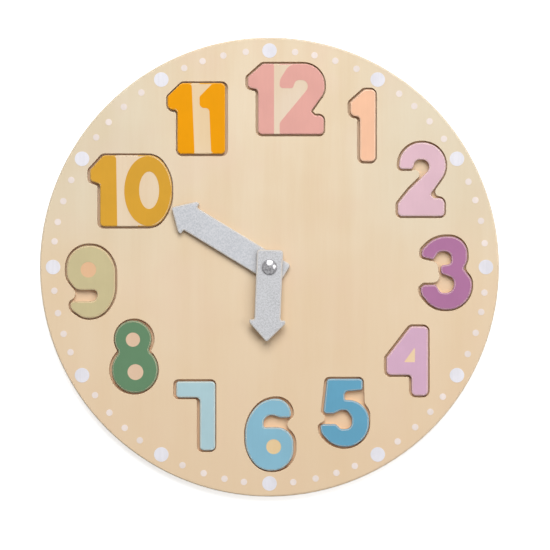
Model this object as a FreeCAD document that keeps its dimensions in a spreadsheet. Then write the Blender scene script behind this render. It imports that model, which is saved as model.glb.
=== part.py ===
import FreeCAD, Part
import math
import os

import Sketcher

# A wooden teaching clock that lies on its back: a round plywood board with twelve
# lift-out numerals in routed sockets, and two arrow hands that turn on one post.
# All sizes are in millimetres. +Z points out of the dial, +Y to twelve o'clock and
# +X to three o'clock. The origin is the middle of the flat back face.

# Driving dimensions: name, value, meaning.
SIZES = [
    ("board_diameter", 290.0, "outside diameter of both boards"),
    ("back_thickness", 5.0, "back board, the floor of the sockets"),
    ("face_thickness", 3.0, "face board, the depth of the sockets"),
    ("rim_round", 1.2, "rounding of the front rim"),
    ("socket_round", 0.35, "rounding of the sockets' top edges"),
    ("back_round", 1.0, "rounding of the back rim"),
    ("number_height", 46.0, "height of a numeral"),
    ("number_thickness", 3.8, "wood of a numeral, a little proud of the face"),
    ("number_play", 1.15, "gap all round a numeral in its socket"),
    ("number_edge", 0.8, "rounding of a numeral's top edge"),
    ("number_inset", 39.0, "from the rim to the ring of numerals"),
    ("narrow_bay", 3.0, "half the narrowest bay that a socket follows"),
    ("wide_bay", 4.2, "the same, where the sockets of the 3, the 6 and the 9 close earlier"),
    ("paint_thickness", 0.1, "printed colour layer"),
    ("paint_margin", 0.05, "bare wood between the rounded edge and the print"),
    ("hour_dot_diameter", 9.2, "printed hour dot"),
    ("minute_dot_diameter", 4.1, "printed minute dot"),
    ("dot_inset", 8.4, "from the rim to the ring of dots"),
    ("hand_thickness", 3.0, "wood of a hand"),
    ("hand_width", 16.5, "shaft of a hand"),
    ("hand_tail", 10.8, "from the pivot to the square end of a hand"),
    ("hand_edge", 0.75, "rounding of a hand's edges"),
    ("head_width", 22.6, "arrow head of a hand, across"),
    ("head_length", 14.0, "arrow head of a hand, along"),
    ("head_side", 2.2, "short straight side of the arrow head"),
    ("hand_room", 72.6, "from the minute hand's tip to the rim, past the numerals"),
    ("hour_hand_shortfall", 25.1, "how much shorter the hour hand is"),
    ("hour_hand_angle", 182.2, "clockwise from twelve, in degrees"),
    ("minute_hand_angle", 301.3, "clockwise from twelve, in degrees"),
    ("post_diameter", 5.0, "outside of the barrel that the hands turn on"),
    ("pivot_gap", 0.05, "radial running gap between the post and a hand"),
    ("hand_gap", 0.1, "running gap above and below a hand"),
    ("board_hole_gap", 0.1, "radial gap between the post and what stands still"),
    ("washer_diameter", 13.0, "both washers"),
    ("board_washer_thickness", 0.5, "washer between the board and the minute hand"),
    ("hand_washer_thickness", 0.5, "washer between the hands"),
    ("flange_diameter", 12.0, "flange of the barrel, behind the board"),
    ("flange_thickness", 1.2, "flange of the barrel"),
    ("flange_recess", 0.3, "how far the flange lies below the back face"),
    ("flange_gap", 0.25, "radial gap round the flange in its counterbore"),
    ("screw_diameter", 3.0, "shank of the screw"),
    ("screw_gap", 0.05, "radial gap round the shank"),
    ("screw_reach", 9.0, "length of the shank"),
    ("screw_head_diameter", 9.4, "domed head"),
    ("screw_head_height", 2.3, "domed head, from seat to crown"),
    ("screw_head_rim", 1.0, "upright rim under the dome"),
    ("screw_head_round", 0.7, "rounding between the rim and the dome"),
]

# The numerals are drawn on a grid with this many squares to a numeral's height.
GRID_SQUARES = 46

# Outlines of the twelve pieces, each as corners (x, y, corner radius) about the
# middle of its socket, clockwise, in squares. Round strokes are corners with large radii.
OUTLINES = {
    1: [(1.0, 23.0, 2.5), (8.0, 23.0, 3.0), (8.0, -22.5, 3.0), (-2.0, -22.5, 2.8),
        (-2.0, 6.0, 2.5), (-8.0, 6.0, 3.5), (-8.0, 15.0, 2.0)],
    2: [(-14.2, 6.8, 2.0), (-14.2, 23.5, 14.2), (15.2, 23.5, 14.5), (15.2, 4.5, 13.5),
        (5.5, -9.2, 1.6), (7.8, -11.6, 1.6), (14.4, -11.6, 3.5), (14.4, -23.0, 2.6),
        (-15.0, -23.0, 2.6), (-15.0, -15.0, 3.0), (-8.0, -6.2, 20.0), (4.6, 6.0, 5.0),
        (4.6, 12.7, 4.4), (-3.6, 12.7, 3.0), (-5.8, 6.8, 1.6)],
    3: [(-15.1, 10.3, 2.0), (-15.0, 14.8, 5.0), (-6.5, 23.2, 17.0), (13.7, 23.2, 11.0),
        (13.7, 7.4, 8.0), (11.0, 3.1, 2.5), (16.6, -3.9, 8.0), (16.6, -22.9, 15.4),
        (-7.5, -22.9, 15.5), (-15.6, -13.0, 6.5), (-15.6, -9.2, 1.5), (-13.4, -7.3, 1.5),
        (-6.1, -7.2, 1.8), (-3.0, -12.3, 3.5), (5.3, -12.3, 5.0), (5.3, -3.0, 4.0),
        (-2.8, -0.1, 2.0), (-3.2, 4.9, 2.0), (3.7, 5.9, 2.6), (3.7, 13.8, 4.2),
        (-4.2, 13.8, 4.0), (-7.6, 8.6, 1.5)],
    4: [(2.0, 21.5, 2.5), (13.1, 21.5, 3.0), (13.1, -22.2, 3.2), (2.6, -22.2, 3.0),
        (2.6, -9.2, 2.5), (-13.2, -9.2, 3.0), (-13.2, 1.8, 1.5)],
    5: [(-10.6, 21.5, 2.0), (11.8, 21.5, 2.2), (11.8, 14.4, 1.8), (0.4, 13.4, 2.6),
        (0.4, 8.0, 1.2), (15.8, 8.0, 13.0), (15.8, -21.5, 15.0), (-6.5, -21.5, 16.0),
        (-14.8, -12.5, 7.6), (-14.8, -7.2, 2.0), (-5.0, -7.2, 2.5), (-2.0, -10.3, 2.5),
        (5.0, -10.3, 4.0), (5.0, -3.0, 4.0), (1.8, 1.6, 2.2), (-2.0, 1.6, 3.0),
        (-6.5, -0.5, 3.0), (-13.1, -0.5, 2.2)],
    6: [(-3.8, 22.7, 16.7), (13.5, 22.7, 9.5), (13.5, 10.8, 2.0), (6.6, 10.8, 3.0),
        (2.8, 12.2, 2.0), (-3.8, 12.2, 5.0), (-3.8, 4.6, 1.2), (15.1, 4.6, 10.5),
        (15.1, -22.7, 13.5), (-6.0, -22.7, 13.5), (-15.4, -11.0, 23.0), (-15.4, 9.8, 24.5)],
    7: [(-12.8, 21.8, 2.0), (11.9, 21.8, 2.5), (11.9, -21.7, 2.8), (2.1, -21.7, 2.5),
        (2.1, 11.6, 2.5), (-12.8, 11.6, 2.2)],
    8: [(-11.7, 22.2, 11.6), (11.7, 22.2, 11.6), (11.7, 7.4, 11.6), (9.1, 2.8, 2.6),
        (14.5, -3.6, 14.4), (14.5, -23.4, 14.4), (-14.5, -23.4, 14.4), (-14.5, -3.6, 14.4),
        (-9.1, 2.8, 2.6), (-11.7, 7.4, 11.6)],
    9: [(-15.9, 22.5, 13.8), (5.4, 22.5, 14.0), (14.7, 12.0, 19.3), (14.7, -11.3, 22.3),
        (5.4, -23.3, 14.5), (-5.6, -23.3, 11.0), (-13.6, -17.7, 5.0), (-13.6, -12.7, 2.0),
        (3.3, -12.7, 4.0), (3.3, -5.6, 2.5), (-10.0, -5.6, 6.0), (-15.9, 2.0, 10.0)],
    10: [(-25.2, 13.2, 1.5), (-16.8, 22.5, 3.0), (17.9, 22.5, 11.5), (26.5, 9.5, 25.0),
         (26.5, -9.5, 25.0), (17.9, -22.5, 11.5), (-18.9, -22.5, 2.6), (-18.9, 4.2, 2.5),
         (-25.2, 6.3, 2.5)],
    11: [(-18.4, 14.6, 2.0), (-9.6, 23.1, 3.0), (18.1, 23.1, 2.8), (18.1, -21.7, 2.8),
         (-12.2, -21.7, 2.8), (-12.2, 6.2, 2.5), (-18.4, 6.2, 3.5)],
    12: [(-23.7, 13.8, 1.8), (-14.2, 22.2, 3.0), (24.7, 22.2, 13.5), (24.7, 4.2, 10.0),
         (16.2, -7.9, 0.8), (18.6, -10.5, 2.0), (24.2, -10.5, 3.0), (24.2, -22.4, 2.6),
         (-17.3, -22.4, 2.8), (-17.3, 5.8, 2.5), (-23.7, 7.2, 2.5)],
}

# The sockets that leave out their numeral's narrow bays, and the size of what they
# leave out. The socket of the 5 also runs straight past the bay on its right.
BAYS = {2: "narrow_bay", 3: "wide_bay", 5: "narrow_bay", 6: "wide_bay", 9: "wide_bay"}
STRAIGHT_BAYS = {
    5: {(11.8, 14.4): None, (0.4, 13.4): None,
        (0.4, 8.0): (12.3, 6.0, 3.0), (15.8, 8.0): (15.8, 0.5, 6.0)},
}

# Unprinted round counters inside a printed digit: (x, y, radius).
ROUND_COUNTERS = {
    6: [(2.6, -7.5, 4.7)],
    8: [(0.0, 10.2, 4.5), (0.3, -10.3, 5.0)],
    9: [(-2.2, 7.3, 4.9)],
}

# Unprinted triangle inside the 4, as corners.
CORNERED_COUNTERS = {4: [(4.8, 8.6, 0.4), (4.8, -1.0, 0.4), (-2.2, -1.0, 0.4)]}

# The printed digits of the three double blocks, in the same corner form.
PRINTED_DIGITS = {
    10: [[(-24.5, 13.0, 1.5), (-16.6, 21.85, 2.6), (-8.7, 21.85, 1.8), (-8.0, -21.85, 0.6),
          (-18.25, -21.85, 2.1), (-18.25, 4.8, 2.3), (-24.5, 6.8, 2.1)]],
    11: [[(-17.75, 14.4, 2.0), (-9.3, 22.45, 3.0), (-3.1, 22.45, 1.8), (-1.3, -21.05, 0.8),
          (-11.55, -21.05, 2.1), (-11.55, 6.9, 2.5), (-17.75, 6.9, 3.0)],
         [(1.9, 14.5, 2.0), (9.7, 22.45, 2.5), (17.45, 22.45, 2.4), (17.45, -21.05, 2.2),
          (9.2, -21.05, 2.0), (8.0, 7.3, 2.5), (1.9, 7.3, 3.0)]],
    12: [[(-23.05, 13.6, 1.8), (-14.0, 21.55, 3.0), (-7.2, 21.55, 0.8), (-7.2, -21.75, 0.6),
          (-16.65, -21.75, 2.1), (-16.65, 6.4, 2.3), (-23.05, 7.9, 2.1)],
         [(-3.6, 6.8, 2.0), (-3.6, 12.0, 8.0), (2.4, 21.55, 6.0), (24.05, 21.55, 12.8),
          (24.05, 4.3, 9.7), (15.5, -7.7, 1.0), (18.3, -11.15, 2.0), (23.55, -11.15, 2.5),
          (23.55, -21.75, 2.1), (-3.6, -21.75, 1.0), (-3.6, -15.0, 4.0), (14.1, 6.3, 4.6),
          (14.1, 11.9, 3.8), (6.6, 11.9, 2.8), (4.6, 6.8, 1.5)]],
}

# The printed 0 of the ten: outer and inner ellipse (x, y, half width, half height).
PRINTED_ZERO = [(11.15, 0.0, 14.7, 21.85), (12.1, 0.4, 6.3, 11.8)]

# How far each socket lies from its exact clock place on the ring, in squares.
NUDGES = {
    1: (5.5, -2.9), 2: (3.9, 2.0), 3: (4.7, -3.9), 4: (-5.1, -6.0),
    5: (-6.5, -0.3), 6: (0.6, 0.4), 7: (6.3, -2.1), 8: (6.3, -3.0),
    9: (-6.0, -8.9), 10: (3.3, -5.1), 11: (7.4, 1.0), 12: (9.7, 0.0),
}

# How each loose piece lies in its socket: shares of the play along x and y, and a
# turn in degrees.
SEATS = {
    1: (0.4, 0.1, 0.0), 2: (0.25, 0.0, 0.0), 3: (0.3, -0.1, 0.0), 4: (0.25, 0.0, 0.0),
    5: (0.4, 0.1, 0.0), 6: (-0.5, -0.2, 0.0), 7: (0.55, -0.1, 0.0), 8: (0.0, 0.0, 3.6),
    9: (0.0, -0.1, 0.0), 10: (0.4, 0.1, 0.0), 11: (-0.35, 0.15, 0.0), 12: (0.3, 0.05, 0.0),
}

HOURS = range(1, 13)
HOUR_STEP = 30.0

# The four minute dots after each hour dot, in degrees.
MINUTE_STEPS = (6.8, 12.0, 17.7, 23.7)

# Corner radii of a hand: square end, inner corner, barb, side and tip.
TAIL_CORNER = 2.0
INNER_CORNER = 1.0
BARB_CORNER = 0.9
SIDE_CORNER = 1.8
TIP_CORNER = 1.5

# Heights of the layers, as formulas on the sheet.
FACE_TOP = "sizes.back_thickness + sizes.face_thickness"
NUMBER_TOP = "sizes.back_thickness + sizes.number_thickness"
MINUTE_BASE = FACE_TOP + " + sizes.board_washer_thickness + sizes.hand_gap"
PAINTED_HAND = "sizes.hand_thickness + sizes.paint_thickness"
HAND_WASHER_BASE = MINUTE_BASE + " + " + PAINTED_HAND + " + sizes.hand_gap"
HOUR_BASE = HAND_WASHER_BASE + " + sizes.hand_washer_thickness + sizes.hand_gap"
HEAD_SEAT = HOUR_BASE + " + " + PAINTED_HAND + " + sizes.hand_gap"
STILL_HOLE = "sizes.post_diameter / 2 + sizes.board_hole_gap"
HAND_HOLE = "sizes.post_diameter / 2 + sizes.pivot_gap"

doc = FreeCAD.newDocument("teaching_clock")
sheet = doc.addObject("Spreadsheet::Sheet", "sizes")
sheet.Label = "sizes"
for row, (alias, number, meaning) in enumerate(SIZES, start=1):
    sheet.set("A%d" % row, alias)
    sheet.set("B%d" % row, str(number))
    sheet.set("C%d" % row, meaning)
    sheet.setAlias("B%d" % row, alias)
doc.recompute()

parts = []


def size(alias):
    """Return one driving dimension from the sheet."""
    return float(sheet.get(alias))


def rounded_wire(corners, scale=1.0):
    """Return a closed wire through corners (x, y, radius), with tangent arcs."""
    points = [FreeCAD.Vector(x * scale, y * scale, 0) for x, y, radius in corners]
    radii = [radius * scale for x, y, radius in corners]
    arcs = []
    for index, point in enumerate(points):
        back = (points[index - 1] - point).normalize()
        ahead = (points[(index + 1) % len(points)] - point).normalize()
        half = back.getAngle(ahead) / 2
        reach = radii[index] / math.tan(half)
        middle = (back + ahead).normalize()
        crown = point + middle * (radii[index] / math.sin(half) - radii[index])
        arcs.append((point + back * reach, crown, point + ahead * reach))
    edges = []
    for index, (start, crown, end) in enumerate(arcs):
        edges.append(Part.Arc(start, crown, end).toShape())
        following = arcs[(index + 1) % len(arcs)][0]
        if (following - end).Length > 0.001:
            edges.append(Part.LineSegment(end, following).toShape())
    return Part.Wire(edges)


def draw_wire(sketch, wire):
    """Put a wire's lines and arcs into a sketch."""
    for edge in wire.OrderedEdges:
        curve = edge.Curve
        if isinstance(curve, Part.Circle):
            sketch.addGeometry(Part.ArcOfCircle(curve, edge.FirstParameter, edge.LastParameter), False)
        else:
            ends = [vertex.Point for vertex in edge.Vertexes]
            sketch.addGeometry(Part.LineSegment(ends[0], ends[1]), False)


def draw_circle(sketch, name, radius_formula):
    """Add a circle on the sketch's origin, its radius bound to a formula."""
    place = FreeCAD.Vector(0, 0, 0)
    index = sketch.addGeometry(Part.Circle(place, FreeCAD.Vector(0, 0, 1), 1.0), False)
    sketch.addConstraint(Sketcher.Constraint("Coincident", index, 3, -1, 1))
    number = sketch.addConstraint(Sketcher.Constraint("Radius", index, 1.0))
    sketch.renameConstraint(number, name)
    sketch.setExpression("Constraints." + name, radius_formula)


def new_body(name):
    """Add an empty body whose label names its file."""
    body = doc.addObject("PartDesign::Body", name)
    body.Label = name
    parts.append(body)
    return body


def new_sketch(body, name, height="0"):
    """Add a sketch parallel to the body's own XY plane, at a height formula."""
    plane = [item for item in body.Origin.OriginFeatures if item.Role == "XY_Plane"][0]
    sketch = body.newObject("Sketcher::SketchObject", name)
    sketch.AttachmentSupport = (plane, [""])
    sketch.MapMode = "FlatFace"
    sketch.setExpression("AttachmentOffset.Base.z", height)
    return sketch


def pad(body, sketch, length):
    """Raise a sketch by a length formula."""
    feature = body.newObject("PartDesign::Pad", sketch.Name + "_pad")
    feature.Profile = sketch
    feature.setExpression("Length", length)
    doc.recompute()
    return feature


def pocket(body, sketch, depth=None, upward=False):
    """Cut a sketch out of the body, through everything or to a depth formula."""
    before = body.Shape.Volume
    feature = body.newObject("PartDesign::Pocket", sketch.Name + "_pocket")
    feature.Profile = sketch
    feature.Reversed = upward
    if depth is None:
        feature.Type = "ThroughAll"
    else:
        feature.setExpression("Length", depth)
    doc.recompute()
    if body.Shape.Volume > before - 0.1:
        raise RuntimeError("%s cuts nothing" % feature.Name)
    return feature


def round_edges(body, radius, heights, least_reach=0.0, most_reach=1000.0):
    """Round the flat edges at the given heights whose reach from the axis is between two limits."""
    base = body.Tip
    names = []
    for index, edge in enumerate(base.Shape.Edges, start=1):
        box = edge.BoundBox
        level = [h for h in heights if abs(box.ZMin - h) < 0.001 and abs(box.ZMax - h) < 0.001]
        reach = max(math.hypot(vertex.X, vertex.Y) for vertex in edge.Vertexes)
        if level and least_reach < reach < most_reach:
            names.append("Edge%d" % index)
    feature = body.newObject("PartDesign::Fillet", base.Name + "_rounding")
    feature.Base = (base, names)
    feature.setExpression("Radius", radius)
    doc.recompute()
    return feature


def inset_wire(wire, distance):
    """Return the outline of a flat shape shrunk by a distance."""
    return Part.Face(wire).makeOffset2D(-distance).Wires[0]


def number_scale():
    """Return the size of one square of the grid that the numerals are drawn on."""
    return size("number_height") / GRID_SQUARES


def socket_place(hour):
    """Return the middle of one socket on the board."""
    ring = size("board_diameter") / 2 - size("number_inset")
    turn = math.radians(hour * HOUR_STEP)
    nudge_x, nudge_y = NUDGES[hour]
    nudge = FreeCAD.Vector(nudge_x, nudge_y, 0) * number_scale()
    return FreeCAD.Vector(ring * math.sin(turn), ring * math.cos(turn), 0) + nudge


def socket_corners(hour):
    """Return the corners that a socket follows, before the play is added."""
    changes = STRAIGHT_BAYS.get(hour, {})
    corners = [changes.get((x, y), (x, y, radius)) for x, y, radius in OUTLINES[hour]]
    return [corner for corner in corners if corner is not None]


def socket_wire(hour):
    """Return a socket's outline on the board, with the play added all round."""
    outline = Part.Face(rounded_wire(socket_corners(hour), number_scale()))
    play = size("number_play")
    if hour in BAYS:
        closing = size(BAYS[hour])
        grown = outline.makeOffset2D(play + closing)
        wire = Part.Face(grown.Wires[0]).makeOffset2D(-closing).Wires[0]
    else:
        wire = outline.makeOffset2D(play).Wires[0]
    wire.translate(socket_place(hour))
    return wire


def seat(body, hour, height):
    """Lay a numeral's body in its socket, at a height formula."""
    share_x, share_y, turn = SEATS[hour]
    play = size("number_play")
    place = socket_place(hour) + FreeCAD.Vector(share_x * play, share_y * play, 0)
    body.Placement = FreeCAD.Placement(place, FreeCAD.Rotation(FreeCAD.Vector(0, 0, 1), turn))
    body.setExpression("Placement.Base.z", height)


def build_back_board():
    """Build the plain disc that closes the sockets, with the barrel's counterbore."""
    body = new_body("back_board")
    disc = new_sketch(body, "back_disc")
    draw_circle(disc, "board_radius", "sizes.board_diameter / 2")
    pad(body, disc, "sizes.back_thickness")
    hole = new_sketch(body, "back_hole", "sizes.back_thickness")
    draw_circle(hole, "hole_radius", STILL_HOLE)
    pocket(body, hole)
    bore = new_sketch(body, "flange_seat")
    draw_circle(bore, "seat_radius", "sizes.flange_diameter / 2 + sizes.flange_gap")
    pocket(body, bore, "sizes.flange_recess + sizes.flange_thickness", upward=True)
    round_edges(body, "sizes.back_round", [0.0], size("board_diameter") / 4)


def build_face_board():
    """Build the dial board with its twelve sockets cut right through."""
    body = new_body("face_board")
    disc = new_sketch(body, "face_disc")
    draw_circle(disc, "board_radius", "sizes.board_diameter / 2")
    pad(body, disc, "sizes.face_thickness")
    round_edges(body, "sizes.rim_round", [size("face_thickness")])
    hole = new_sketch(body, "face_hole", "sizes.face_thickness")
    draw_circle(hole, "hole_radius", STILL_HOLE)
    pocket(body, hole)
    for hour in HOURS:
        socket = new_sketch(body, "socket_%d" % hour, "sizes.face_thickness")
        draw_wire(socket, socket_wire(hour))
        pocket(body, socket)
    rim = size("board_diameter") / 2 - size("rim_round")
    round_edges(body, "sizes.socket_round", [size("face_thickness")], size("flange_diameter"), rim - 0.5)
    body.setExpression("Placement.Base.z", "sizes.back_thickness")


def build_number(hour):
    """Build one wooden numeral, resting on the back board."""
    body = new_body("number_%d" % hour)
    outline = new_sketch(body, "outline_%d" % hour)
    draw_wire(outline, rounded_wire(OUTLINES[hour], number_scale()))
    pad(body, outline, "sizes.number_thickness")
    round_edges(body, "sizes.number_edge", [size("number_thickness")])
    seat(body, hour, "sizes.back_thickness")


def draw_ellipse(sketch, x, y, half_width, half_height):
    """Add an upright ellipse."""
    middle = FreeCAD.Vector(x, y, 0)
    top = middle + FreeCAD.Vector(0, half_height, 0)
    side = middle + FreeCAD.Vector(half_width, 0, 0)
    sketch.addGeometry(Part.Ellipse(top, side, middle), False)


def build_number_paint(hour):
    """Build the printed colour on one numeral, with its bare counters left out."""
    body = new_body("number_%d_paint" % hour)
    print_sketch = new_sketch(body, "print_%d" % hour)
    scale = number_scale()
    if hour in PRINTED_DIGITS:
        for corners in PRINTED_DIGITS[hour]:
            draw_wire(print_sketch, rounded_wire(corners, scale))
    else:
        margin = size("number_edge") + size("paint_margin")
        draw_wire(print_sketch, inset_wire(rounded_wire(OUTLINES[hour], scale), margin))
    if hour == 10:
        for x, y, half_width, half_height in PRINTED_ZERO:
            draw_ellipse(print_sketch, x * scale, y * scale, half_width * scale, half_height * scale)
    for x, y, radius in ROUND_COUNTERS.get(hour, []):
        place = FreeCAD.Vector(x * scale, y * scale, 0)
        print_sketch.addGeometry(Part.Circle(place, FreeCAD.Vector(0, 0, 1), radius * scale), False)
    if hour in CORNERED_COUNTERS:
        draw_wire(print_sketch, rounded_wire(CORNERED_COUNTERS[hour], scale))
    body.AllowCompound = True
    pad(body, print_sketch, "sizes.paint_thickness")
    seat(body, hour, NUMBER_TOP)


def hand_corners(length):
    """Return the corners of a hand that points along +Y."""
    shaft = size("hand_width") / 2
    barb = size("head_width") / 2
    base = length - size("head_length")
    side = base + size("head_side")
    right = [(barb, side, SIDE_CORNER), (barb, base, BARB_CORNER), (shaft, base, INNER_CORNER),
             (shaft, -size("hand_tail"), TAIL_CORNER)]
    left = [(-x, y, radius) for x, y, radius in reversed(right)]
    return [(0.0, length, TIP_CORNER)] + right + left


def build_hand(name, length, base_height):
    """Build one wooden hand and the printed grey on its face."""
    wire = rounded_wire(hand_corners(length))
    turn = FreeCAD.Rotation(FreeCAD.Vector(0, 0, 1), -size(name + "_angle"))
    wood = new_body(name)
    outline = new_sketch(wood, name + "_outline")
    draw_wire(outline, wire)
    draw_circle(outline, "hole_radius", HAND_HOLE)
    pad(wood, outline, "sizes.hand_thickness")
    round_edges(wood, "sizes.hand_edge", [0.0, size("hand_thickness")], size("post_diameter"))
    wood.Placement = FreeCAD.Placement(FreeCAD.Vector(0, 0, 0), turn)
    wood.setExpression("Placement.Base.z", base_height)
    paint = new_body(name + "_paint")
    print_sketch = new_sketch(paint, name + "_print")
    draw_wire(print_sketch, inset_wire(wire, size("hand_edge") + size("paint_margin")))
    draw_circle(print_sketch, "hole_radius", HAND_HOLE + " + sizes.paint_margin")
    pad(paint, print_sketch, "sizes.paint_thickness")
    paint.Placement = FreeCAD.Placement(FreeCAD.Vector(0, 0, 0), turn)
    paint.setExpression("Placement.Base.z", base_height + " + sizes.hand_thickness")


def build_washer(name, thickness, height):
    """Build one flat washer on the post."""
    body = new_body(name)
    ring = new_sketch(body, name + "_ring")
    draw_circle(ring, "outer_radius", "sizes.washer_diameter / 2")
    draw_circle(ring, "hole_radius", STILL_HOLE)
    pad(body, ring, thickness)
    body.setExpression("Placement.Base.z", height)


def cylinder(name, radius, length, height):
    """Add an upright cylinder on the pivot's axis."""
    item = doc.addObject("Part::Cylinder", name)
    item.setExpression("Radius", radius)
    item.setExpression("Height", length)
    item.setExpression("Placement.Base.z", height)
    return item


def build_barrel():
    """Build the flanged post: a sleeve nut with a blind bore for the screw."""
    recess = "sizes.flange_recess"
    flange = cylinder("barrel_flange", "sizes.flange_diameter / 2", "sizes.flange_thickness", recess)
    post = cylinder("barrel_post", "sizes.post_diameter / 2", HEAD_SEAT + " - " + recess, recess)
    depth = "sizes.screw_reach + sizes.screw_diameter / 2"
    bore_radius = "sizes.screw_diameter / 2 + sizes.screw_gap"
    bore = cylinder("barrel_bore", bore_radius, depth, HEAD_SEAT + " - (" + depth + ")")
    body = doc.addObject("Part::Fuse", "barrel_body")
    body.Base = flange
    body.Tool = post
    barrel = doc.addObject("Part::Cut", "pivot_barrel")
    barrel.Base = body
    barrel.Tool = bore
    barrel.Label = "pivot_barrel"
    parts.append(barrel)


def build_screw():
    """Build the screw: a plain shank under a domed head."""
    head_radius = "sizes.screw_head_diameter / 2"
    rise = "(sizes.screw_head_height - sizes.screw_head_rim)"
    dome_radius = "((" + head_radius + ")^2 + " + rise + "^2) / (2 * " + rise + ")"
    head = cylinder("head_blank", head_radius, "sizes.screw_head_height", HEAD_SEAT)
    ball = doc.addObject("Part::Sphere", "head_ball")
    ball.setExpression("Radius", dome_radius)
    ball.setExpression("Placement.Base.z", HEAD_SEAT + " + sizes.screw_head_height - " + dome_radius)
    dome = doc.addObject("Part::Common", "head_dome")
    dome.Base = head
    dome.Tool = ball
    doc.recompute()
    brim = size("screw_head_rim") + dome.Shape.BoundBox.ZMin
    upper = [index for index, edge in enumerate(dome.Shape.Edges, start=1)
             if abs(edge.BoundBox.ZMin - brim) < 0.01 and abs(edge.BoundBox.ZMax - brim) < 0.01]
    rounding = size("screw_head_round")
    rounded = doc.addObject("Part::Fillet", "head_rounded")
    rounded.Base = dome
    rounded.Edges = [(index, rounding, rounding) for index in upper]
    shank = cylinder("screw_shank", "sizes.screw_diameter / 2", "sizes.screw_reach",
                     HEAD_SEAT + " - sizes.screw_reach")
    screw = doc.addObject("Part::Fuse", "pivot_screw")
    screw.Base = rounded
    screw.Tool = shank
    screw.Label = "pivot_screw"
    parts.append(screw)


def build_dots(name, diameter, angles):
    """Build one set of printed dots on the dot ring."""
    ring = size("board_diameter") / 2 - size("dot_inset")
    dots = []
    for index, angle in enumerate(angles):
        dot = cylinder("%s_%d" % (name, index), diameter + " / 2", "sizes.paint_thickness", FACE_TOP)
        turn = math.radians(angle)
        dot.Placement.Base = FreeCAD.Vector(ring * math.sin(turn), ring * math.cos(turn), 0)
        dots.append(dot)
    group = doc.addObject("Part::Compound", name)
    group.Links = dots
    group.Label = name
    parts.append(group)


def check_and_export():
    """Stop on any failed object or bad solid, then write one file for each piece."""
    doc.recompute()
    for item in doc.Objects:
        if "Invalid" in item.State or "Error" in item.State:
            raise RuntimeError("%s failed: %s" % (item.Label, item.State))
    os.makedirs("parts", exist_ok=True)
    for item in parts:
        if item.Shape.isNull() or not item.Shape.isValid() or not item.Shape.Solids:
            raise RuntimeError("%s has no valid solid" % item.Label)
        item.Shape.exportStep("parts/%s.step" % item.Label)
        box = item.Shape.BoundBox
        print("%-18s %2d solids %10.1f mm3  z %6.2f to %6.2f" % (
            item.Label, len(item.Shape.Solids), item.Shape.Volume, box.ZMin, box.ZMax))


build_back_board()
build_face_board()
for hour in HOURS:
    build_number(hour)
    build_number_paint(hour)
minute_hand_length = size("board_diameter") / 2 - size("hand_room")
build_washer("board_washer", "sizes.board_washer_thickness", FACE_TOP)
build_hand("minute_hand", minute_hand_length, MINUTE_BASE)
build_washer("hand_washer", "sizes.hand_washer_thickness", HAND_WASHER_BASE)
build_hand("hour_hand", minute_hand_length - size("hour_hand_shortfall"), HOUR_BASE)
build_barrel()
build_screw()
build_dots("hour_dots", "sizes.hour_dot_diameter", [hour * HOUR_STEP for hour in HOURS])
build_dots("minute_dots", "sizes.minute_dot_diameter",
           [hour * HOUR_STEP + step for hour in HOURS for step in MINUTE_STEPS])
check_and_export()
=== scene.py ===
"""Dresses a wooden teaching clock: a ply dial, twelve loose numerals and two hands."""

import logging
import math
from dataclasses import dataclass, field
from enum import Enum
from typing import Sequence

import bmesh
import bpy
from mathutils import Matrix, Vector


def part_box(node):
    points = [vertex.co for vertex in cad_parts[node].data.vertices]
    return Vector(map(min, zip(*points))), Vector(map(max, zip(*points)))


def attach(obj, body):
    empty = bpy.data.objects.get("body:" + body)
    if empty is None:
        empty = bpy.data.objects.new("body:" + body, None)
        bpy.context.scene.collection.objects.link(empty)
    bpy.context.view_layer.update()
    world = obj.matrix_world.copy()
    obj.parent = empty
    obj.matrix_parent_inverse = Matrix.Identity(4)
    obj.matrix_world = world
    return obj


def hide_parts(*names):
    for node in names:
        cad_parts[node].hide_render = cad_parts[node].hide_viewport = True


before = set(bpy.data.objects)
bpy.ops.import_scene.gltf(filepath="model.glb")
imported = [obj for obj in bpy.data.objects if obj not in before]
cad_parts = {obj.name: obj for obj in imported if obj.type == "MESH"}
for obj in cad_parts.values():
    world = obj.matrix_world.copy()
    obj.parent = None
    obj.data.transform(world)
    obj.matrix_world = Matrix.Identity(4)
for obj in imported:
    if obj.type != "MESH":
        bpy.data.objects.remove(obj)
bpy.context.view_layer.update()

LOG = logging.getLogger("teaching_clock")
MM = 0.001

Rgb = tuple[int, int, int]
Span = tuple[float, float]
Socket = bpy.types.NodeSocket

# The colour sockets of Blender's Mix node, whose names its other types share.
MIX_SHARE, MIX_FIRST, MIX_SECOND = 0, 6, 7
MIX_RESULT = 2

# The part of a noise's range that most of its values fall in.
NOISE_SPAN = (0.35, 0.65)


def linear(colour: Rgb) -> tuple[float, float, float, float]:
    """Turn a colour as it looks on screen into the linear one a shader takes.

    Args:
        colour: Red, green and blue from 0 to 255.

    Returns:
        The linear red, green and blue, and an alpha of 1.
    """
    parts = []
    for value in colour:
        share = value / 255
        parts.append(share / 12.92 if share <= 0.04045 else ((share + 0.055) / 1.055) ** 2.4)
    return (parts[0], parts[1], parts[2], 1.0)


class Grain(Enum):
    """How far the fibres are drawn out up the dial, on bare wood and under print."""

    BARE = (1.0, 0.05, 1.0)
    PRINTED = (1.0, 0.07, 1.0)


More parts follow.
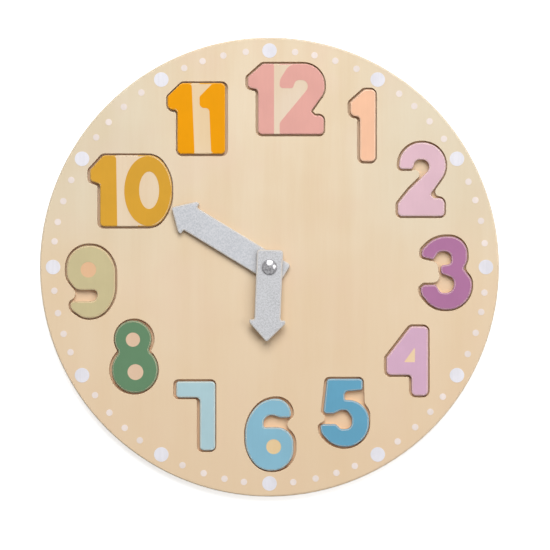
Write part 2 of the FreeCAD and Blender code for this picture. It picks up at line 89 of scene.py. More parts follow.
class Graph:
    """Adds and links the nodes of one material or node group."""

    def __init__(self, tree: bpy.types.NodeTree) -> None:
        """Work on an empty node tree.

        Args:
            tree: The material's or the group's tree.
        """
        self.tree = tree
        self.tree.nodes.clear()

    def add(self, kind: str, settings: dict | None = None, **inputs: object) -> bpy.types.Node:
        """Add a node, with its settings and its inputs.

        Args:
            kind: The node's Blender type.
            settings: Properties of the node itself.
            inputs: A value or a socket for each input, by name, with _ for a space.

        Returns:
            The new node.
        """
        node = self.tree.nodes.new(kind)
        for name, value in (settings or {}).items():
            setattr(node, name, value)
        for name, value in inputs.items():
            self.feed(node.inputs[name.replace("_", " ")], value)
        return node

    def feed(self, socket: Socket, value: object) -> None:
        """Link a socket to another one, or set its number."""
        if isinstance(value, bpy.types.NodeSocket):
            self.tree.links.new(value, socket)
        else:
            socket.default_value = value

    def math(self, operation: str, first: object, second: object = 0.0) -> Socket:
        """Return the result of one sum on two numbers."""
        node = self.add("ShaderNodeMath", {"operation": operation})
        self.feed(node.inputs[0], first)
        self.feed(node.inputs[1], second)
        return node.outputs["Value"]

    def spread(self, value: object, start: Span, end: Span = (0.0, 1.0)) -> Socket:
        """Move a number from one range to another, smoothly and held at the ends.

        Args:
            value: The number.
            start: The range that it comes from.
            end: The range that it is moved to.

        Returns:
            The moved number.
        """
        node = self.add("ShaderNodeMapRange", {"interpolation_type": "SMOOTHSTEP"}, Value=value)
        for name, number in zip(("From Min", "From Max", "To Min", "To Max"), start + end):
            node.inputs[name].default_value = number
        return node.outputs["Result"]

    def blend(self, share: object, first: object, second: object) -> Socket:
        """Return a mix of two colours.

        Args:
            share: How much of the second colour shows, from 0 to 1.
            first: The colour at 0.
            second: The colour at 1.

        Returns:
            The mixed colour.
        """
        node = self.add("ShaderNodeMix", {"data_type": "RGBA"})
        self.feed(node.inputs[MIX_SHARE], share)
        self.feed(node.inputs[MIX_FIRST], first)
        self.feed(node.inputs[MIX_SECOND], second)
        return node.outputs[MIX_RESULT]

    def noise(self, place: Socket, scale: object, detail: float, roughness: float = 0.5) -> Socket:
        """Return a cloudy pattern of numbers round one half."""
        node = self.add("ShaderNodeTexNoise", {}, Vector=place, Scale=scale, Detail=detail)
        node.inputs["Roughness"].default_value = roughness
        return node.outputs["Fac"]

    def length(self, vector: Socket) -> Socket:
        """Return how long a vector is."""
        node = self.add("ShaderNodeVectorMath", {"operation": "LENGTH"})
        self.feed(node.inputs[0], vector)
        return node.outputs["Value"]

    def seen(self) -> Socket:
        """Return 1 for what the camera sees, straight or through a mirror or glass, else 0."""
        rays = self.add("ShaderNodeLightPath")
        plain = self.math("MAXIMUM", rays.outputs["Is Camera Ray"], rays.outputs["Is Glossy Ray"])
        return self.math("MAXIMUM", plain, rays.outputs["Is Transmission Ray"])

    def surface(self, colour: Socket, rough: Socket, **plain: float) -> bpy.types.Node:
        """Add the Principled shader and the output of a material.

        Args:
            colour: The base colour.
            rough: The roughness.
            plain: A plain number for each other input, by name.

        Returns:
            The shader's node.
        """
        shader = self.add("ShaderNodeBsdfPrincipled", {}, Roughness=rough, **plain)
        self.feed(shader.inputs["Base Color"], colour)
        self.add("ShaderNodeOutputMaterial", {}, Surface=shader.outputs["BSDF"])
        return shader

    def bump(self, shader: bpy.types.Node, height: Socket, strength: float, depth_m: float) -> None:
        """Give a shader a fine relief.

        Args:
            shader: The shader's node.
            height: The height of the relief.
            strength: How strongly it shows.
            depth_m: How deep it is, in metres.
        """
        relief = self.add("ShaderNodeBump", {}, Height=height, Strength=strength, Distance=depth_m)
        self.feed(shader.inputs["Normal"], relief.outputs["Normal"])


def new_material(name: str) -> tuple[bpy.types.Material, Graph]:
    """Make an empty material.

    Args:
        name: The material's name.

    Returns:
        The material, and the graph of its nodes.
    """
    made = bpy.data.materials.new(name)
    made.use_nodes = True
    return made, Graph(made.node_tree)


def new_group(
    name: str,
    inputs: Sequence[tuple[str, str, object]],
    outputs: Sequence[str],
) -> bpy.types.NodeTree:
    """Make an empty node group.

    Args:
        name: The group's name.
        inputs: A name, a socket type and a default for each input.
        outputs: A name for each number that the group puts out.

    Returns:
        The group's node tree, with its sockets.
    """
    tree = bpy.data.node_groups.new(name, "ShaderNodeTree")
    for label, kind, default in inputs:
        socket = tree.interface.new_socket(label, in_out="INPUT", socket_type=kind)
        if default is not None:
            socket.default_value = default
    for label in outputs:
        tree.interface.new_socket(label, in_out="OUTPUT", socket_type="NodeSocketFloat")
    return tree


def wood_figure() -> bpy.types.NodeTree:
    """Make the figure of birch: broad bands, fine fibres, cloudy patches and short pores."""
    fibres_to_a_band, blushes_to_a_patch = 9.0, 1.6
    pore_scale, pore_depth = 1900.0, 0.6
    number = "NodeSocketFloat"
    tree = new_group(
        "wood_figure",
        [
            ("Place", "NodeSocketVector", None),
            ("Band Scale", number, 70.0),
            ("Patch Scale", number, 22.0),
        ],
        ["Bands", "Fibres", "Patches", "Blush", "Pores", "Height"],
    )
    graph = Graph(tree)
    given = graph.add("NodeGroupInput")
    place = given.outputs["Place"]
    bands = graph.noise(place, given.outputs["Band Scale"], 2.0, 0.45)
    fibre_scale = graph.math("MULTIPLY", given.outputs["Band Scale"], fibres_to_a_band)
    fibres = graph.noise(place, fibre_scale, 4.0, 0.6)
    unstretched = graph.add("ShaderNodeTexCoord").outputs["Object"]
    patches = graph.noise(unstretched, given.outputs["Patch Scale"], 2.0)
    shifted = graph.add("ShaderNodeMapping", {}, Vector=unstretched, Location=(3.1, 1.7, 0.4))
    blush_scale = graph.math("MULTIPLY", given.outputs["Patch Scale"], blushes_to_a_patch)
    blush = graph.noise(shifted.outputs["Vector"], blush_scale, 2.0)
    pores = graph.spread(graph.noise(place, pore_scale, 2.0, 0.6), (0.63, 0.74))
    height = graph.math("SUBTRACT", fibres, graph.math("MULTIPLY", pores, pore_depth))
    out = graph.add("NodeGroupOutput")
    for label, value in (
        ("Bands", graph.spread(bands, (0.3, 0.7))),
        ("Fibres", graph.spread(fibres, NOISE_SPAN)),
        ("Patches", graph.spread(patches, NOISE_SPAN)),
        ("Blush", graph.spread(blush, (0.45, 0.75))),
        ("Pores", pores),
        ("Height", height),
    ):
        graph.feed(out.inputs[label], value)
    return tree


def ply_edge() -> bpy.types.NodeTree:
    """Make the cut edge of ply: its sides, its steep wall, its rounded and worn top, its layers.

    Each of the first four runs between two values of the normal's Z, which is 0 on an
    upright wall and 1 on a level face.

    Returns:
        The group's node tree.
    """
    side, wall, worn = (0.6, 0.97), (0.15, 0.45), (0.35, 0.85)
    rounding_starts, rounding_ends = (0.05, 0.3), (0.975, 0.998)
    fading = (1.0, 0.0)
    number = "NodeSocketFloat"
    tree = new_group(
        "ply_edge",
        [
            ("Place", "NodeSocketVector", None),
            ("Facing", "NodeSocketVector", None),
            ("Layer", number, 0.001),
            ("Base", number, 0.0),
        ],
        ["Side", "Wall", "Rounding", "Worn", "Dark Layer", "Glue"],
    )
    graph = Graph(tree)
    given = graph.add("NodeGroupInput")
    facing = graph.add("ShaderNodeSeparateXYZ", {}, Vector=given.outputs["Facing"])
    upright = graph.math("ABSOLUTE", facing.outputs["Z"])
    leaning = graph.spread(facing.outputs["Z"], rounding_starts)
    not_level = graph.spread(facing.outputs["Z"], rounding_ends, fading)
    rounding = graph.math("MULTIPLY", leaning, not_level)
    place = graph.add("ShaderNodeSeparateXYZ", {}, Vector=given.outputs["Place"])
    above = graph.math("SUBTRACT", place.outputs["Z"], given.outputs["Base"])
    count = graph.math("DIVIDE", above, given.outputs["Layer"])
    swing = graph.math("SINE", graph.math("MULTIPLY", count, math.pi))
    out = graph.add("NodeGroupOutput")
    for label, value in (
        ("Side", graph.spread(upright, side, fading)),
        ("Wall", graph.spread(upright, wall, fading)),
        ("Rounding", rounding),
        ("Worn", graph.spread(facing.outputs["Z"], worn, fading)),
        ("Dark Layer", graph.spread(swing, (-0.25, 0.25), fading)),
        ("Glue", graph.spread(graph.math("ABSOLUTE", swing), (0.0, 0.3), fading)),
    ):
        graph.feed(out.inputs[label], value)
    return tree


def print_texture() -> bpy.types.NodeTree:
    """Make the look of printed colour on sanded wood: soft clouds, grain below, speckle."""
    cloud_scale, fibre_scale, speckle_height = 60.0, 800.0, 0.5
    tree = new_group(
        "print_texture",
        [("Place", "NodeSocketVector", None), ("Speckle Scale", "NodeSocketFloat", 1400.0)],
        ["Clouds", "Fibres", "Speckle", "Height"],
    )
    graph = Graph(tree)
    given = graph.add("NodeGroupInput")
    place = given.outputs["Place"]
    clouds = graph.noise(place, cloud_scale, 3.0)
    along = graph.add("ShaderNodeMapping", {}, Vector=place, Scale=Grain.PRINTED.value)
    fibres = graph.noise(along.outputs["Vector"], fibre_scale, 3.0, 0.6)
    speckle = graph.noise(place, given.outputs["Speckle Scale"], 2.0, 0.7)
    height = graph.math("ADD", fibres, graph.math("MULTIPLY", speckle, speckle_height))
    out = graph.add("NodeGroupOutput")
    for label, value in (
        ("Clouds", graph.spread(clouds, NOISE_SPAN)),
        ("Fibres", graph.spread(fibres, NOISE_SPAN)),
        ("Speckle", graph.spread(speckle, (0.36, 0.64))),
        ("Height", height),
    ):
        graph.feed(out.inputs[label], value)
    return tree


class Effects:
    """The shared effects, each built once."""

    def __init__(self) -> None:
        """Build the three node groups."""
        self.figure = wood_figure()
        self.edge = ply_edge()
        self.texture = print_texture()


EFFECTS = Effects()


@dataclass(frozen=True)
class EdgePrint:
    """Printed colour that runs over the rounded top edge of a piece.

    Each gap is the start and the end, along X, of a stretch that stays bare on one
    side of a level line, in millimetres on the dial.
    """

    colour: Rgb
    wear: float
    level_mm: float = 0.0
    gap_above_mm: Span = (0.0, 0.0)
    gap_below_mm: Span = (0.0, 0.0)

    def inside(self, graph: Graph, across: Socket, gap_mm: Span) -> Socket:
        """Return 1 between the two ends of a gap, and 0 elsewhere."""
        past_start = graph.math("GREATER_THAN", across, gap_mm[0] * MM)
        before_end = graph.math("LESS_THAN", across, gap_mm[1] * MM)
        return graph.math("MULTIPLY", past_start, before_end)

    def cover(self, graph: Graph, place: Socket, edge: bpy.types.Node) -> Socket:
        """Return how much the print covers the wood, thinner where the edge is steep.

        Args:
            graph: The material's graph.
            place: The point on the piece.
            edge: The placed ply_edge group.

        Returns:
            1 where the print covers the edge, 0 where the wood is bare.
        """
        split = graph.add("ShaderNodeSeparateXYZ", {}, Vector=place)
        across = split.outputs["X"]
        above = graph.math("GREATER_THAN", split.outputs["Y"], self.level_mm * MM)
        below = graph.math("SUBTRACT", 1.0, above)
        upper = graph.math("MULTIPLY", above, self.inside(graph, across, self.gap_above_mm))
        lower = graph.math("MULTIPLY", below, self.inside(graph, across, self.gap_below_mm))
        printed = graph.math("SUBTRACT", 1.0, graph.math("ADD", upper, lower))
        left = graph.math("SUBTRACT", 1.0, graph.math("MULTIPLY", edge.outputs["Worn"], self.wear))
        rounded = graph.math("MULTIPLY", edge.outputs["Rounding"], left)
        return graph.math("MULTIPLY", rounded, printed)


@dataclass(frozen=True)
class PlyFinish:
    """Bare sanded birch ply, pale on its faces and layered on its cut edges.

    The warm tone grows down the dial, and the cool one outwards and up it, over
    stretches that are given in metres.
    """

    name: str
    pale: Rgb
    deep: Rgb
    blush: Rgb
    edge_light: Rgb
    edge_dark: Rgb
    layer_mm: float
    base_mm: float
    glue: Rgb = (176, 142, 104)
    glue_strength: float = 0.35
    band_scale: float = 70.0
    band_strength: float = 0.4
    patch_strength: float = 0.35
    fibre_strength: float = 0.12
    blush_strength: float = 0.35
    pore_strength: float = 0.08
    low_warmth: float = 0.0
    warm: Rgb = (234, 203, 166)
    warm_down_m: Span = (-0.14, 0.12)
    outer_coolness: float = 0.0
    cool: Rgb = (208, 209, 190)
    cool_out_m: Span = (0.03, 0.1)
    cool_up_m: Span = (-0.02, 0.06)
    # Walls inside this radius take the brown below: partly a cutter's burn, partly painted shade in
    # the gaps round the numerals.
    burn_and_shade_radius_mm: float = 0.0
    burn_and_shade_light: Rgb = (200, 158, 118)
    burn_and_shade_dark: Rgb = (168, 124, 86)
    edge_print: EdgePrint | None = None
    roughness: Span = (0.5, 0.62)
    ior: float = 1.3
    relief: float = 0.2
    relief_m: float = 0.00006

    def face_colour(self, graph: Graph, place: Socket, figure: bpy.types.Node) -> Socket:
        """Return the colour of the sanded face.

        Args:
            graph: The material's graph.
            place: The point on the piece.
            figure: The placed wood_figure group.

        Returns:
            The colour's socket.
        """
        bands = graph.math("MULTIPLY", figure.outputs["Bands"], self.band_strength)
        patches = graph.math("MULTIPLY", figure.outputs["Patches"], self.patch_strength)
        fibres = graph.math("MULTIPLY", figure.outputs["Fibres"], self.fibre_strength)
        tone = graph.math("ADD", graph.math("ADD", bands, patches), fibres)
        face = graph.blend(tone, linear(self.pale), linear(self.deep))
        flush = graph.math("MULTIPLY", figure.outputs["Blush"], self.blush_strength)
        face = graph.blend(flush, face, linear(self.blush))
        if self.low_warmth:
            split = graph.add("ShaderNodeSeparateXYZ", {}, Vector=place)
            height = split.outputs["Y"]
            warmth = graph.spread(height, self.warm_down_m, (self.low_warmth, 0.0))
            face = graph.blend(warmth, face, linear(self.warm))
            outward = graph.spread(graph.math("ABSOLUTE", split.outputs["X"]), self.cool_out_m)
            upper = graph.spread(height, self.cool_up_m, (0.0, self.outer_coolness))
            face = graph.blend(graph.math("MULTIPLY", outward, upper), face, linear(self.cool))
        pores = graph.math("MULTIPLY", figure.outputs["Pores"], self.pore_strength)
        return graph.blend(pores, face, linear(self.edge_dark))

    def with_edge(self, graph: Graph, place: Socket, edge: bpy.types.Node, face: Socket) -> Socket:
        """Add the cut edge's layers to the face, browned on the walls inside a radius: partly a
        cutter's burn, partly painted shade that darkens the gaps round the numerals.

        Args:
            graph: The material's graph.
            place: The point on the piece.
            edge: The placed ply_edge group.
            face: The colour of the sanded face.

        Returns:
            The colour's socket.
        """
        dark = edge.outputs["Dark Layer"]
        glue = graph.math("MULTIPLY", edge.outputs["Glue"], self.glue_strength)
        layers = graph.blend(dark, linear(self.edge_light), linear(self.edge_dark))
        layers = graph.blend(glue, layers, linear(self.glue))
        if not self.burn_and_shade_radius_mm:
            return graph.blend(edge.outputs["Wall"], face, layers)
        flat = graph.add("ShaderNodeVectorMath", {"operation": "MULTIPLY"})
        graph.feed(flat.inputs[0], place)
        graph.feed(flat.inputs[1], (1.0, 1.0, 0.0))
        reach = graph.length(flat.outputs["Vector"])
        within = graph.math("LESS_THAN", reach, self.burn_and_shade_radius_mm * MM)
        # Brown of the socket walls: partly a cutter's burn, partly painted shade for the gaps.
        burnt_and_shaded = graph.blend(dark, linear(self.burn_and_shade_light), linear(self.burn_and_shade_dark))
        outer = graph.blend(edge.outputs["Side"], face, layers)
        inner = graph.blend(edge.outputs["Wall"], face, burnt_and_shaded)
        return graph.blend(within, outer, inner)

    def material(self) -> bpy.types.Material:
        """Build the finish as a material.

        Returns:
            The new material.
        """
        made, graph = new_material(self.name)
        place = graph.add("ShaderNodeTexCoord").outputs["Object"]
        along = graph.add("ShaderNodeMapping", {}, Vector=place, Scale=Grain.BARE.value)
        figure = graph.add("ShaderNodeGroup", {"node_tree": EFFECTS.figure})
        graph.feed(figure.inputs["Place"], along.outputs["Vector"])
        figure.inputs["Band Scale"].default_value = self.band_scale
        facing = graph.add("ShaderNodeNewGeometry").outputs["Normal"]
        edge = graph.add("ShaderNodeGroup", {"node_tree": EFFECTS.edge}, Place=place, Facing=facing)
        edge.inputs["Layer"].default_value = self.layer_mm * MM
        edge.inputs["Base"].default_value = self.base_mm * MM
        colour = self.with_edge(graph, place, edge, self.face_colour(graph, place, figure))
        if self.edge_print:
            cover = self.edge_print.cover(graph, place, edge)
            colour = graph.blend(cover, colour, linear(self.edge_print.colour))
        rough = graph.spread(figure.outputs["Fibres"], (0.0, 1.0), self.roughness)
        shader = graph.surface(colour, rough, IOR=self.ior)
        graph.bump(shader, figure.outputs["Height"], self.relief, self.relief_m)
        return made


@dataclass(frozen=True)
class PrintFinish:
    """Flat printed colour on sanded wood.

    Its shades are shares of the colour: the lightest, the clouds and the fibres.
    """

    name: str
    colour: Rgb
    lightest_shade: float = 1.015
    cloud_shade: float = 0.93
    fibre_shade: float = 0.9
    clouds: float = 0.25
    fibres: float = 0.18
    speckle: float = 0.0
    speckle_scale: float = 1400.0
    light_speck: Rgb = (224, 224, 228)
    roughness: float = 0.42
    roughness_rise: float = 0.12
    ior: float = 1.18
    relief: float = 0.2
    relief_m: float = 0.00005

    def shade(self, factor: float) -> tuple[float, float, float, float]:
        """Return the colour made lighter or darker, as a shader takes it."""
        return linear(tuple(max(0, min(255, round(value * factor))) for value in self.colour))

    def material(self) -> bpy.types.Material:
        """Build the finish as a material.

        Returns:
            The new material.
        """
        made, graph = new_material(self.name)
        place = graph.add("ShaderNodeTexCoord").outputs["Object"]
        texture = graph.add("ShaderNodeGroup", {"node_tree": EFFECTS.texture}, Place=place)
        texture.inputs["Speckle Scale"].default_value = self.speckle_scale
        clouds = graph.math("MULTIPLY", texture.outputs["Clouds"], self.clouds)
        fibres = graph.math("MULTIPLY", texture.outputs["Fibres"], self.fibres)
        colour = graph.blend(clouds, self.shade(self.lightest_shade), self.shade(self.cloud_shade))
        colour = graph.blend(fibres, colour, self.shade(self.fibre_shade))
        if self.speckle:
            speckle = graph.math("MULTIPLY", texture.outputs["Speckle"], self.speckle)
            colour = graph.blend(speckle, colour, linear(self.light_speck))
        roughest = self.roughness + self.roughness_rise
        rough = graph.spread(texture.outputs["Fibres"], (0.0, 1.0), (self.roughness, roughest))
        shader = graph.surface(colour, rough, IOR=self.ior)
        graph.bump(shader, texture.outputs["Height"], self.relief, self.relief_m)
        return made


@dataclass(frozen=True)
class MetalFinish:
    """Plated metal with a faint haze of fine scratches."""

    name: str
    colour: Rgb
    dull: Rgb
    polish: float
    haze: float
    cloud_scale: float = 800.0
    grit_scale: float = 6000.0
    relief: float = 0.08
    relief_m: float = 0.00002

    def material(self) -> bpy.types.Material:
        """Build the finish as a material.

        Returns:
            The new material.
        """
        made, graph = new_material(self.name)
        place = graph.add("ShaderNodeTexCoord").outputs["Object"]
        clouds = graph.spread(graph.noise(place, self.cloud_scale, 4.0, 0.65), (0.38, 0.62))
        grit = graph.noise(place, self.grit_scale, 2.0, 0.6)
        colour = graph.blend(clouds, linear(self.colour), linear(self.dull))
        rough = graph.spread(clouds, (0.0, 1.0), (self.polish, self.haze))
        shader = graph.surface(colour, rough, Metallic=1.0)
        graph.bump(shader, grit, self.relief, self.relief_m)
        return made


@dataclass(frozen=True)
class NylonFinish:
    """Plain moulded nylon, a little milky."""

    name: str
    colour: Rgb
    shadow: Rgb
    cloud_scale: float = 500.0
    roughness: Span = (0.38, 0.5)

    def material(self) -> bpy.types.Material:
        """Build the finish as a material.

        Returns:
            The new material.
        """
        made, graph = new_material(self.name)
        place = graph.add("ShaderNodeTexCoord").outputs["Object"]
        clouds = graph.spread(graph.noise(place, self.cloud_scale, 3.0), NOISE_SPAN)
        colour = graph.blend(clouds, linear(self.colour), linear(self.shadow))
        graph.surface(colour, graph.spread(clouds, (0.0, 1.0), self.roughness))
        return made


def low_mm(node: str) -> float:
    """Return the height of a CAD node's lowest point, in millimetres."""
    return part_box(node)[0][2] / MM


def high_mm(node: str) -> float:
    """Return the height of a CAD node's highest point, in millimetres."""
    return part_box(node)[1][2] / MM


def dress(node: str, material: bpy.types.Material) -> None:
    """Give one CAD node its material.

    Args:
        node: The node's name.
        material: The material that it gets.
    """
    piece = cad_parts[node]
    piece.data.materials.clear()
    piece.data.materials.append(material)
    LOG.info("dressed %s in %s", node, material.name)


@dataclass
class DialBoard:
    """The two boards glued face to face, with the printed dots on the rim."""

    face_layers: int = 3
    back_layers: int = 5
    rim_start_mm: float = 140.0
    hour_dot_colour: Rgb = (238, 236, 243)
    minute_dot_colour: Rgb = (245, 232, 225)

    def build(self) -> None:
        """Dress both boards and the dots."""
        base, joint, top = low_mm("back_board"), low_mm("face_board"), high_mm("face_board")
        face = PlyFinish(
            name="dial_birch",
            pale=(239, 221, 193),
            deep=(231, 207, 172),
            blush=(236, 208, 184),
            # Rim colours: the cut ply's greyer tone, darkened further as painted shade for the thin
            # dark line round the rim.
            edge_light=(228, 215, 194),
            edge_dark=(212, 193, 164),
            layer_mm=(top - joint) / self.face_layers,
            base_mm=joint,
            low_warmth=0.65,
            outer_coolness=0.25,
            # Socket walls inside the rim are browned, partly as a cutter's burn, partly as painted
            # shade in the gaps.
            burn_and_shade_radius_mm=self.rim_start_mm,
        )
        back = PlyFinish(
            name="back_birch",
            pale=(230, 208, 178),
            deep=(222, 197, 164),
            blush=(232, 202, 176),
            edge_light=(234, 218, 192),
            edge_dark=(214, 190, 156),
            layer_mm=(joint - base) / self.back_layers,
            base_mm=base,
            low_warmth=0.95,
            warm=(239, 206, 169),
        )
        dress("face_board", face.material())
        dress("back_board", back.material())
        for kind, colour in (("hour", self.hour_dot_colour), ("minute", self.minute_dot_colour)):
            dots = PrintFinish(kind + "_dot_print", colour, clouds=0.5, fibres=0.2)
            dress(kind + "_dots", dots.material())


@dataclass(frozen=True)
class Numeral:
    """The colours of one numeral, and where its top edge stays bare.

    A gap is a stretch between two printed digits, measured along X from the block's
    left side in millimetres: above the block's middle and below it.
    """

    colour: Rgb
    bare: Rgb = (239, 222, 200)
    gap_above_mm: Span = (0.0, 0.0)
    gap_below_mm: Span = (0.0, 0.0)


@dataclass
class Numerals:
    """The twelve loose numerals, each a ply block with a printed top."""

    pieces: dict[int, Numeral] = field(
        default_factory=lambda: {
            1: Numeral((249, 197, 163)),
            2: Numeral((227, 189, 201)),
            3: Numeral((178, 119, 161)),
            4: Numeral((218, 177, 202), bare=(246, 219, 182)),
            5: Numeral((104, 167, 197)),
            6: Numeral((141, 190, 211), bare=(239, 210, 160)),
            7: Numeral((178, 209, 216)),
            8: Numeral((103, 140, 106), bare=(232, 202, 176)),
            9: Numeral((207, 194, 150), bare=(239, 197, 159)),
            10: Numeral((219, 164, 54), (238, 218, 190), (16.5, 30.0), (17.2, 30.2)),
            11: Numeral((241, 160, 0), (240, 215, 176), (15.3, 20.3), (17.1, 27.6)),
            12: Numeral((230, 169, 159), (235, 216, 193), (16.5, 20.1), (16.5, 20.1)),
        }
    )
    layers: int = 4
    deep_shares: tuple[float, float, float] = (0.965, 0.93, 0.88)
    # The share and the pale tone that lighten the edge print: a painted highlight on the rounded
    # edges.
    edge_highlight_share: float = 0.08
    edge_highlight_pale: int = 245
    edge_wear: float = 0.5

    def deep(self, bare: Rgb) -> Rgb:
        """Return the deeper tone of a numeral's bare wood."""
        return tuple(round(value * share) for value, share in zip(bare, self.deep_shares))

    def edge_print(self, piece: Numeral, node: str) -> EdgePrint:
        """Return the print on a numeral's rounded top edge, made a little paler than its face as a
        painted highlight.

        Args:
            piece: The numeral.
            node: Its CAD node.

        Returns:
            The edge print, placed on the dial.
        """
        low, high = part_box(node)
        left = low[0] / MM
        share = self.edge_highlight_share
        highlighted = tuple(round(value * (1 - share) + self.edge_highlight_pale * share) for value in piece.colour)
        return EdgePrint(
            colour=highlighted,
            wear=self.edge_wear,
            level_mm=(low[1] + high[1]) / 2 / MM,
            gap_above_mm=tuple(left + end for end in piece.gap_above_mm),
            gap_below_mm=tuple(left + end for end in piece.gap_below_mm),
        )

    def build(self) -> None:
        """Dress every block and its printed top."""
        for number, piece in self.pieces.items():
            node = "number_%d" % number
            base, top = low_mm(node), high_mm(node)
            wood = PlyFinish(
                name="numeral_%d_birch" % number,
                pale=piece.bare,
                deep=self.deep(piece.bare),
                blush=(240, 212, 192),
                # Cut sides darker than bare ply: partly the cut edge's own tone, partly painted
                # shade that darkens the gaps round each block.
                edge_light=(206, 166, 126),
                edge_dark=(170, 128, 90),
                layer_mm=(top - base) / self.layers,
                base_mm=base,
                blush_strength=0.15,
                edge_print=self.edge_print(piece, node),
            )
            dress(node, wood.material())
            finish = PrintFinish("numeral_%d_print" % number, piece.colour, fibres=0.08)
            dress(node + "_paint", finish.material())


@dataclass
class Hands:
    """The hour and minute hands, thin ply with a silver-grey printed top."""

    minute_colour: Rgb = (198, 201, 206)
    hour_colour: Rgb = (195, 196, 198)
    edge_colour: Rgb = (209, 208, 208)
    edge_wear: float = 0.85
    layers: int = 3

    def wood(self, node: str) -> bpy.types.Material:
        """Return the wood of one hand.

        Args:
            node: The hand's CAD node.

        Returns:
            The new material.
        """
        base, top = low_mm(node), high_mm(node)
        finish = PlyFinish(
            name=node + "_birch",
            pale=(228, 217, 200),
            deep=(220, 203, 180),
            blush=(228, 209, 192),
            # Cut sides darkened as painted shade, so that less light bounces onto the board beside
            # the hand; partly the ply's own tone.
            edge_light=(150, 136, 120),
            edge_dark=(118, 104, 88),
            layer_mm=(top - base) / self.layers,
            base_mm=base,
            edge_print=EdgePrint(self.edge_colour, self.edge_wear),
        )
        return finish.material()

    def build(self) -> None:
        """Dress both hands."""
        faces = {"minute_hand": self.minute_colour, "hour_hand": self.hour_colour}
        for node, colour in faces.items():
            dress(node, self.wood(node))
            grey = PrintFinish(
                name=node + "_print",
                colour=colour,
                clouds=0.4,
                fibres=0.1,
                speckle=0.75,
                speckle_scale=1150.0,
                roughness=0.36,
            )
            dress(node + "_paint", grey.material())


@dataclass
class Pivot:
    """The domed screw, the flanged barrel that it goes into, and both washers."""

    rim_mm: float = 1.0
    round_mm: float = 0.7
    edge_mm: float = 0.15
    shank_radius_mm: float = 1.5
    tip_mm: float = 0.3
    turns: int = 96
    arc_steps: int = 14
    merge_m: float = 0.000001
    sharp_degrees: float = 40.0

    def profile(self) -> list[Vector]:
        """Trace half of the screw's section.

        Returns:
            Points from the crown, over the dome and down to the shank's end.
        """
        low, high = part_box("pivot_screw")
        radius, top, end = high[0] / MM, high[2] / MM, low[2] / MM
        seat = high_mm("pivot_barrel")
        rise = top - seat - self.rim_mm
        dome = (radius**2 + rise**2) / (2 * rise)
        middle = top - dome
        lean = math.acos((radius - self.round_mm) / (dome - self.round_mm))
        shoulder = middle + (dome - self.round_mm) * math.sin(lean)
        points = []
        for step in range(self.arc_steps + 1):
            angle = (math.pi / 2 - lean) * step / self.arc_steps
            points.append((dome * math.sin(angle), middle + dome * math.cos(angle)))
        for step in range(1, self.arc_steps + 1):
            angle = lean * (1 - step / self.arc_steps)
            across = radius - self.round_mm + self.round_mm * math.cos(angle)
            points.append((across, shoulder + self.round_mm * math.sin(angle)))
        points += [
            (radius, seat + self.edge_mm),
            (radius - self.edge_mm, seat),
            (self.shank_radius_mm, seat),
            (self.shank_radius_mm, end + self.tip_mm),
            (self.shank_radius_mm - self.tip_mm, end),
            (0.0, end),
        ]
        return [Vector((across, 0.0, height)) * MM for across, height in points]

    def turn_and_height(self, face: bmesh.types.BMFace) -> float:
        """Rank a face by its turn round the axis, then by its height, the same on every run.

        Args:
            face: A face of the screw.

        Returns:
            Its rank. One step round the axis counts more than the screw's whole height.
        """
        middle = face.calc_center_median()
        return math.atan2(middle.y, middle.x) + middle.z

    def screw(self) -> bpy.types.Object:
        """Turn the screw from its section.

        Returns:
            The screw as one smooth piece.
        """
        form = bmesh.new()
        corners = [form.verts.new(point) for point in self.profile()]
        edges = [form.edges.new(pair) for pair in zip(corners, corners[1:])]
        bmesh.ops.spin(
            form,
            geom=corners + edges,
            cent=(0.0, 0.0, 0.0),
            axis=(0.0, 0.0, 1.0),
            angle=math.tau,
            steps=self.turns,
            use_merge=True,
        )
        bmesh.ops.remove_doubles(form, verts=form.verts, dist=self.merge_m)
        bmesh.ops.recalc_face_normals(form, faces=form.faces)
        form.faces.sort(key=self.turn_and_height)
        mesh = bpy.data.meshes.new("pivot_screw_turned")
        form.to_mesh(mesh)
        form.free()
        for face in mesh.polygons:
            face.use_smooth = True
        mesh.set_sharp_from_angle(angle=math.radians(self.sharp_degrees))
        piece = bpy.data.objects.new("pivot_screw_turned", mesh)
        bpy.context.scene.collection.objects.link(piece)
        return piece

    def build(self) -> None:
        """Turn the screw and dress what it holds."""
        screw = self.screw()
        nickel = MetalFinish("bright_nickel", (172, 171, 173), (126, 125, 128), 0.12, 0.24)
        screw.data.materials.append(nickel.material())
        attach(screw, "board")
        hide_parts("pivot_screw")
        LOG.info("turned %s", screw.name)
        zinc = MetalFinish("dull_zinc", (178, 178, 180), (150, 150, 152), 0.32, 0.45)
        nylon = NylonFinish("washer_nylon", (226, 223, 215), (214, 210, 200))
        dress("pivot_barrel", zinc.material())
        milky = nylon.material()
        dress("board_washer", milky)
        dress("hand_washer", milky)


@dataclass(frozen=True)
class Lamp:
    """A round soft lamp that points at the clock, and whether shiny surfaces mirror it."""

    name: str
    place_m: tuple[float, float, float]
    size_m: float
    watts: float
    glint: bool = True

    def hang(self) -> None:
        """Put the lamp into the scene."""
        light = bpy.data.lights.new(self.name, "AREA")
        light.shape = "DISK"
        light.size = self.size_m
        light.energy = self.watts
        lamp = bpy.data.objects.new(self.name, light)
        lamp.location = self.place_m
        lamp.visible_glossy = self.glint
        lamp.rotation_euler = (-Vector(self.place_m)).to_track_quat("-Z", "Y").to_euler()
        bpy.context.scene.collection.objects.link(lamp)


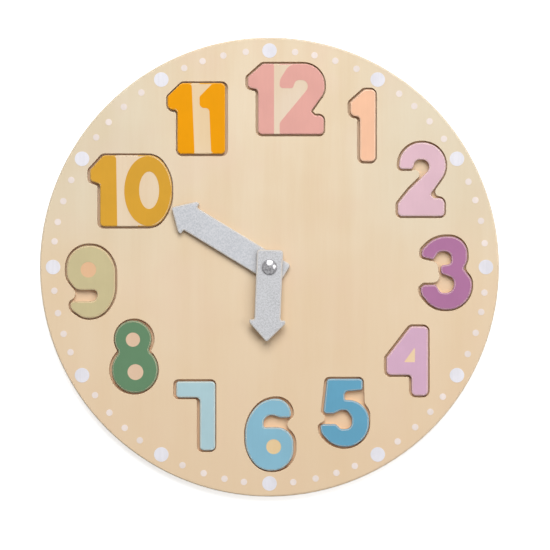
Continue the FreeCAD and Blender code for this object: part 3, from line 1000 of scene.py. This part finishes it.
@dataclass
class Studio:
    """The white table, the soft lamps and the camera that looks straight down."""

    lamps: tuple[Lamp, ...] = (
        Lamp("key_lamp", (0.1, 1.45, 1.92), 1.9, 50.3),
        Lamp("side_lamp", (1.5, 0.1, 1.8), 1.2, 11.0),
        Lamp("lower_lamp", (0.0, 0.0, -1.5), 0.3, 17.0, glint=False),
    )
    frame_width_mm: float = 347.1
    aim_x_mm: float = 3.47
    aim_y_mm: float = -5.05
    lens_mm: float = 150.0
    sensor_mm: float = 36.0
    face_height_mm: float = 8.0
    clip_end_m: float = 10.0
    ambient: float = 0.2
    table_white: float = 0.9
    table_lift: float = 0.6
    table_reach_m: float = 4.0
    table_drop_m: float = 0.0004
    fade_m: Span = (0.4, 1.2)
    under_gap_m: float = 0.001

    def floor(self) -> None:
        """Lay the white table just under the clock, seen from above only."""
        form = bmesh.new()
        bmesh.ops.create_grid(form, x_segments=1, y_segments=1, size=self.table_reach_m)
        bmesh.ops.translate(form, verts=form.verts, vec=(0.0, 0.0, -self.table_drop_m))
        mesh = bpy.data.meshes.new("table_top")
        form.to_mesh(mesh)
        form.free()
        table = bpy.data.objects.new("table_top", mesh)
        bpy.context.scene.collection.objects.link(table)
        mesh.materials.append(self.table_material())

    def table_material(self) -> bpy.types.Material:
        """Build the table's material.

        Far away it fades to plain white. Close under the clock it lets the lower
        lamp's light through, so that the back shows when it is looked at from below.

        Returns:
            The new material.
        """
        white, graph = new_material("white_table")
        paint = (self.table_white, self.table_white, self.table_white, 1.0)
        matt = graph.add("ShaderNodeBsdfDiffuse", {}, Color=paint)
        away = graph.length(graph.add("ShaderNodeTexCoord").outputs["Object"])
        fade = graph.spread(away, self.fade_m, (self.table_lift, 1.0))
        strength = graph.math("MULTIPLY", graph.seen(), fade)
        lift = graph.add("ShaderNodeEmission", {}, Color=(1.0, 1.0, 1.0, 1.0), Strength=strength)
        top = graph.add("ShaderNodeAddShader")
        graph.feed(top.inputs[0], matt.outputs["BSDF"])
        graph.feed(top.inputs[1], lift.outputs["Emission"])
        clear = graph.add("ShaderNodeBsdfTransparent")
        under = graph.add("ShaderNodeNewGeometry").outputs["Backfacing"]
        rays = graph.add("ShaderNodeLightPath")
        close = graph.math("LESS_THAN", rays.outputs["Ray Length"], self.under_gap_m)
        soft = graph.math("MAXIMUM", rays.outputs["Is Shadow Ray"], rays.outputs["Is Diffuse Ray"])
        through = graph.math("MULTIPLY", soft, close)
        both = graph.add("ShaderNodeMixShader")
        graph.feed(both.inputs[0], graph.math("MAXIMUM", under, through))
        graph.feed(both.inputs[1], top.outputs["Shader"])
        graph.feed(both.inputs[2], clear.outputs["BSDF"])
        graph.add("ShaderNodeOutputMaterial", {}, Surface=both.outputs["Shader"])
        return white

    def world(self) -> None:
        """Fill the room with an even pale light."""
        room = bpy.data.worlds.new("pale_room")
        room.use_nodes = True
        graph = Graph(room.node_tree)
        strength = graph.spread(graph.seen(), (0.0, 1.0), (self.ambient, 1.0))
        light = graph.add("ShaderNodeBackground", {}, Color=(1.0, 1.0, 1.0, 1.0), Strength=strength)
        graph.add("ShaderNodeOutputWorld", {}, Surface=light.outputs["Background"])
        bpy.context.scene.world = room

    def camera(self) -> None:
        """Look straight down at the dial with a long lens."""
        lens = bpy.data.cameras.new("overhead")
        lens.lens = self.lens_mm
        lens.sensor_width = self.sensor_mm
        lens.clip_end = self.clip_end_m
        camera = bpy.data.objects.new("overhead", lens)
        height_mm = self.face_height_mm + self.frame_width_mm * self.lens_mm / self.sensor_mm
        camera.location = Vector((self.aim_x_mm, self.aim_y_mm, height_mm)) * MM
        bpy.context.scene.collection.objects.link(camera)
        bpy.context.scene.camera = camera

    def build(self) -> None:
        """Set up the table, the light and the camera."""
        self.floor()
        self.world()
        for lamp in self.lamps:
            lamp.hang()
        self.camera()
        bpy.context.scene.view_settings.view_transform = "Standard"


def main() -> None:
    """Build each sub-assembly in turn and light it."""
    logging.basicConfig(level=logging.INFO, format="%(name)s: %(message)s")
    for assembly in (DialBoard(), Numerals(), Hands(), Pivot(), Studio()):
        assembly.build()
        LOG.info("finished %s", type(assembly).__name__)


if __name__ == "__main__":
    main()
